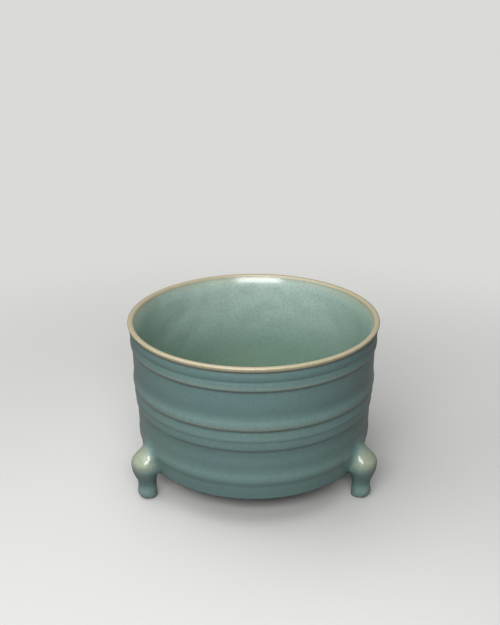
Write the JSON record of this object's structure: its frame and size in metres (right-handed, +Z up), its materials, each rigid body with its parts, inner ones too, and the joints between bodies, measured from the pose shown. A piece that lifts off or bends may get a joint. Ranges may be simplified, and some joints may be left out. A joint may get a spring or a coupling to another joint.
{
  "type": "ribbed tripod vase",
  "caption": "Low round celadon vase with an open mouth, raised bow-string ribs round its straight wall and moulded hoof-shaped legs.",
  "frame": {"origin": "under the middle of the part's bounding box, on the plane that the three feet stand on", "axes": "+Z up, along the vessel's axis; +Y towards the back leg; +X to the viewer's right"},
  "size_m": [0.18, 0.189, 0.123],
  "materials": {
    "celadon_glaze": "satin celadon glaze, finely crazed",
    "leg_glaze": "satin celadon glaze, thinner and warmer on the knee"
  },
  "bodies": {
    "root": {"vessel_wall": "celadon_glaze", "floor_disc": "celadon_glaze", "leg_back": "leg_glaze", "leg_front_left": "leg_glaze", "leg_front_right": "leg_glaze"}
  },
  "joints": []
}
